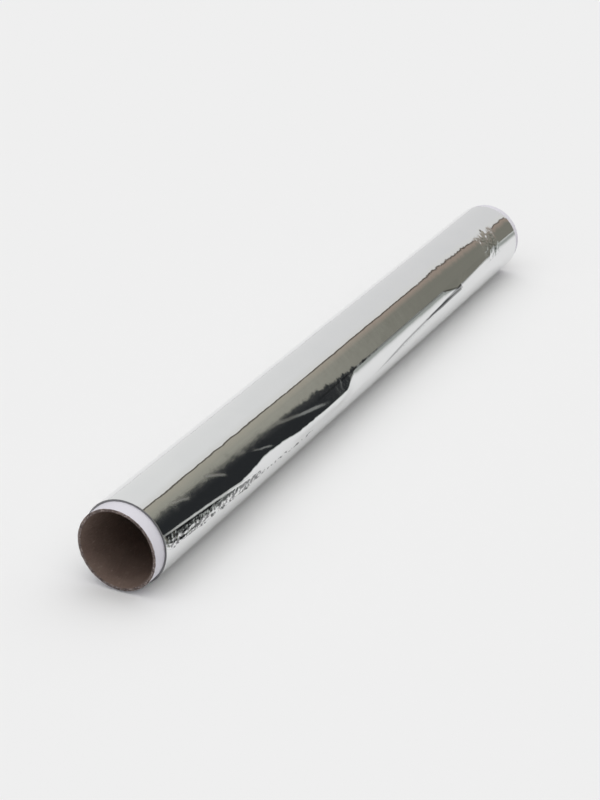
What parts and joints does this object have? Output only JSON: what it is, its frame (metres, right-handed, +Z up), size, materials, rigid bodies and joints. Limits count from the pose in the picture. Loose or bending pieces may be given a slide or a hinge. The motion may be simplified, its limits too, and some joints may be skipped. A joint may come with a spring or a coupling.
{
  "type": "aluminium foil roll",
  "caption": "Roll of household aluminium foil wound on a stiff paper core that stands out at both ends, lying on its side with the foil's free edge loose along one side.",
  "frame": {"origin": "on the surface that the roll lies on, under the middle of the core", "axes": "+X along the core, from the end where more of the core stands out to the other; +Z up; the foil's free edge is on the -Y side"},
  "size_m": [0.3, 0.0287, 0.0287],
  "materials": {
    "core_board": "matt white paper outside, raw brown board inside and on the cut ends",
    "bright_foil": "mirror-bright rolled foil with fine crinkles"
  },
  "bodies": {
    "root": {"cardboard_core": "core_board", "foil_winding": "bright_foil"}
  },
  "joints": []
}
